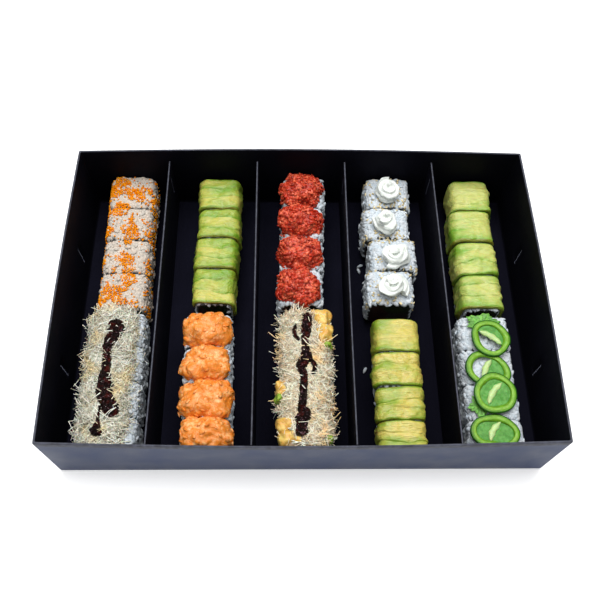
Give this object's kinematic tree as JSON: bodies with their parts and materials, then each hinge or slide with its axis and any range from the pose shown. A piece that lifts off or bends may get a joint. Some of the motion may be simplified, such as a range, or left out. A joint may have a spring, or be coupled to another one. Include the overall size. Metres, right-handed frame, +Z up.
{
  "type": "takeaway sushi tray",
  "caption": "Low rectangular card tray with lanes between thin dividers, each lane holding two short rows of cut, topped rice rolls.",
  "frame": {"origin": "centre of the tray's footprint, on the surface it stands on", "axes": "+Z up, +X along the tray's long front wall, +Y from the front wall to the back wall, along the lanes"},
  "size_m": [0.3532, 0.2444, 0.066],
  "materials": {
    "card": "satin",
    "rice": "moist",
    "roe_rice": "moist",
    "avocado": "satin",
    "red_fish": "wet",
    "salmon_fish": "wet",
    "fried_shreds": "matt",
    "cream": "satin",
    "pepper": "wet",
    "herb": "satin"
  },
  "bodies": {
    "root": {"avocado_roll_front_1": "avocado", "avocado_roll_front_2": "avocado", "avocado_roll_front_3": "avocado", "avocado_roll_front_4": "avocado", "avocado_roll_left_1": "avocado", "avocado_roll_left_2": "avocado", "avocado_roll_left_3": "avocado", "avocado_roll_left_4": "avocado", "avocado_roll_right_1": "avocado", "avocado_roll_right_2": "avocado", "avocado_roll_right_3": "avocado", "avocado_roll_right_4": "avocado", "cream_roll_1": "rice", "cream_roll_2": "rice", "cream_roll_3": "rice", "cream_roll_4": "rice", "cream_swirl_1": "cream", "cream_swirl_2": "cream", "cream_swirl_3": "cream", "cream_swirl_4": "cream", "crisp_heap_left": "fried_shreds", "crisp_heap_middle": "fried_shreds", "crisp_roll_left_1": "rice", "crisp_roll_left_2": "rice", "crisp_roll_left_3": "rice", "crisp_roll_left_4": "rice", "crisp_roll_middle_1": "rice", "crisp_roll_middle_2": "rice", "crisp_roll_middle_3": "rice", "crisp_roll_middle_4": "rice", "divider_1": "card", "divider_2": "card", "divider_3": "card", "divider_4": "card", "herb_leaf_1": "herb", "herb_leaf_2": "herb", "pepper_roll_1": "rice", "pepper_roll_2": "rice", "pepper_roll_3": "rice", "pepper_roll_4": "rice", "pepper_slice_1": "pepper", "pepper_slice_2": "pepper", "pepper_slice_3": "pepper", "pepper_slice_4": "pepper", "red_roll_1": "red_fish", "red_roll_2": "red_fish", "red_roll_3": "red_fish", "red_roll_4": "red_fish", "roe_roll_1": "roe_rice", "roe_roll_2": "roe_rice", "roe_roll_3": "roe_rice", "roe_roll_4": "roe_rice", "salmon_roll_1": "salmon_fish", "salmon_roll_2": "salmon_fish", "salmon_roll_3": "salmon_fish", "salmon_roll_4": "salmon_fish", "tray": "card"}
  },
  "joints": []
}
